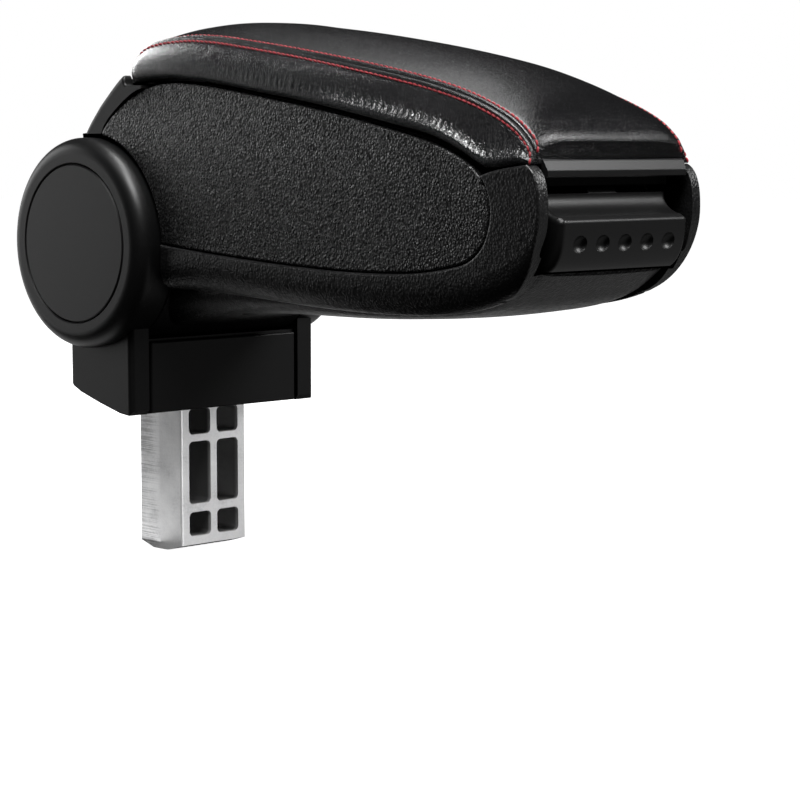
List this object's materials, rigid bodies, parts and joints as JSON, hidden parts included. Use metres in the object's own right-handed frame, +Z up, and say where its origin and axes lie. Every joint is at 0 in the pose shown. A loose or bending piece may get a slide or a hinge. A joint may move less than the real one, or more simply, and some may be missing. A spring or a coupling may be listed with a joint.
{
  "type": "car centre armrest",
  "caption": "Tilting car centre armrest on a cast post, with a padded stitched lid over a storage bin and a thumb release at the nose.",
  "frame": {"origin": "centre of the post's bottom end", "axes": "+X towards the armrest's nose (vehicle forward), +Y to the vehicle's left, +Z up along the post"},
  "size_m": [0.2993, 0.124, 0.2296],
  "materials": {
    "cast_alloy": "die-cast, matt with fine scratches",
    "base_plastic": "smooth satin black",
    "satin_plastic": "smooth satin dark grey",
    "cover_plastic": "smooth matt dark grey",
    "grained_plastic": "pebble-grained, semi-matt",
    "inner_plastic": "smooth matt black",
    "bracket_alloy": "die-cast",
    "steel": "zinc plated",
    "bearing_plastic": "natural nylon",
    "rubber_black": "matt",
    "foam": "open-cell foam",
    "faux_leather": "fine-grained, soft sheen",
    "stitch_thread": "twisted red thread"
  },
  "bodies": {
    "base": {"post": "cast_alloy", "base_housing": "base_plastic", "base_front_plate": "base_plastic", "left_disc_ring": "satin_plastic", "right_disc_ring": "satin_plastic", "left_disc_cap": "satin_plastic", "right_disc_cap": "satin_plastic", "hinge_axle": "steel", "axle_nut": "steel", "axle_washers": "steel", "friction_washers": "bearing_plastic", "stop_pin": "steel", "post_bolts": "steel"},
    "arm": {"hinge_bracket": "bracket_alloy", "pivot_bushes": "bearing_plastic", "hinge_drum": "grained_plastic", "bottom_shell": "grained_plastic", "right_side_shell": "grained_plastic", "left_side_shell": "grained_plastic", "right_side_panel": "grained_plastic", "left_side_panel": "grained_plastic", "rear_cover": "cover_plastic", "storage_tray": "inner_plastic", "tray_mat": "rubber_black", "front_fascia": "inner_plastic", "lever_pin": "steel", "lid_hinge_bracket": "steel", "lid_hinge_pin": "steel", "lid_buffers": "rubber_black", "tray_screws": "steel", "bottom_screws": "steel"},
    "release_lever": {"release_lever": "satin_plastic", "lever_spring": "steel"},
    "lid": {"lid_base": "inner_plastic", "lid_pull_bar": "satin_plastic", "latch_keeper": "inner_plastic", "lid_foam": "foam", "top_cover_panel": "faux_leather", "right_cover_panel": "faux_leather", "left_cover_panel": "faux_leather", "lid_screws": "steel"}
  },
  "joints": [
    {"name": "arm_tilt", "type": "hinge", "parent": "base", "child": "arm", "pos_m": [-0.004, 0, 0.1364], "axis": [0, -1, 0], "range_deg": [0, 80]},
    {"name": "lid_open", "type": "hinge", "parent": "arm", "child": "lid", "pos_m": [0.0205, 0, 0.2069], "axis": [0, -1, 0], "range_deg": [0, 65]},
    {"name": "release_press", "type": "hinge", "parent": "arm", "child": "release_lever", "pos_m": [0.23, 0, 0.1334], "axis": [0, -1, 0], "range_deg": [0, 8], "stiffness_Nm_per_rad": 0.3, "springref_deg": -5.73}
  ]
}
